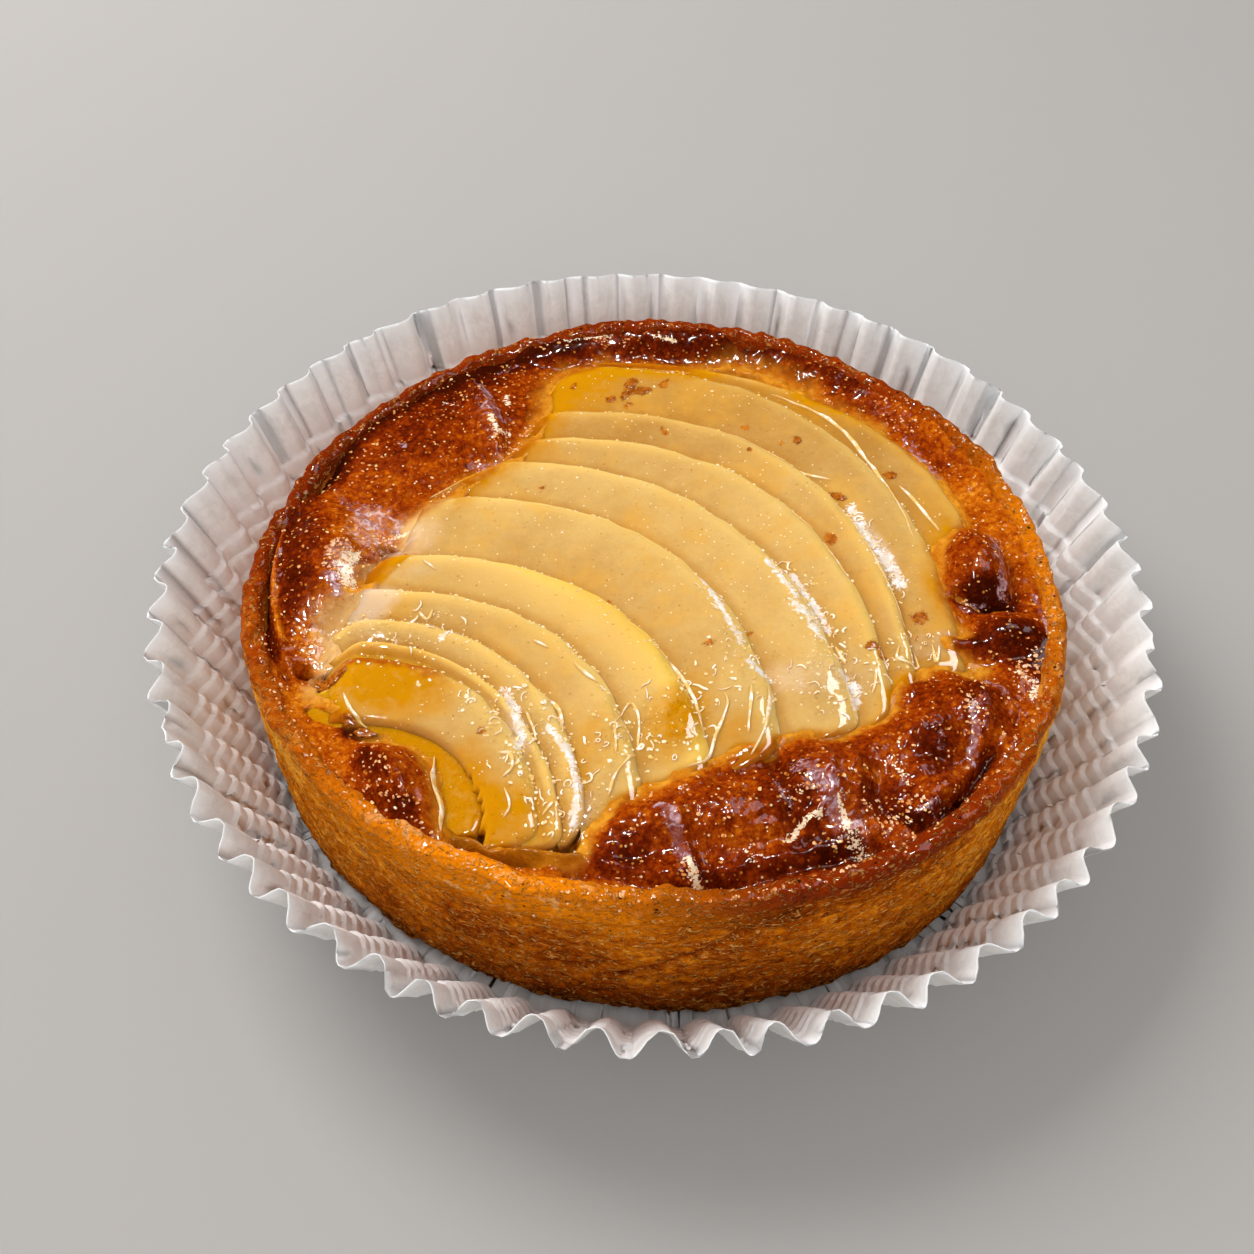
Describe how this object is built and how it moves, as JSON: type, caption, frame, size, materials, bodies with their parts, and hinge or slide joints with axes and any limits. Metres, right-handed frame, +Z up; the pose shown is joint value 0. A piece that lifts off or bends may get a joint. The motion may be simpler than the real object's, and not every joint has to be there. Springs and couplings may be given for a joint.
{
  "type": "pear frangipane tart",
  "caption": "Round shortcrust tart filled with baked almond frangipane and a fan of thin overlapping pear slices under glaze, standing in a pleated white paper case.",
  "frame": {"origin": "centre of the footprint, on the surface that the paper case stands on", "axes": "+Z up; -Y towards the front of the tart, where the fan of pears ends; +X to the right as seen from the front"},
  "size_m": [0.1246, 0.1248, 0.0283],
  "materials": {
    "paper": "matt, thin greaseproof paper",
    "pastry": "baked, dry and sandy",
    "frangipane": "baked brown under a wet glaze",
    "pear": "cooked, wet with glaze",
    "pear_low": "cooked, wet with glaze"
  },
  "bodies": {
    "root": {"paper_case": "paper", "pastry_shell": "pastry", "frangipane": "frangipane", "pear_slice_01": "pear", "pear_slice_02": "pear", "pear_slice_03": "pear", "pear_slice_04": "pear", "pear_slice_05": "pear", "pear_slice_06": "pear", "pear_slice_07": "pear", "pear_slice_08": "pear", "pear_slice_09": "pear", "pear_slice_10": "pear", "pear_slice_11": "pear", "pear_slice_12": "pear_low"}
  },
  "joints": []
}
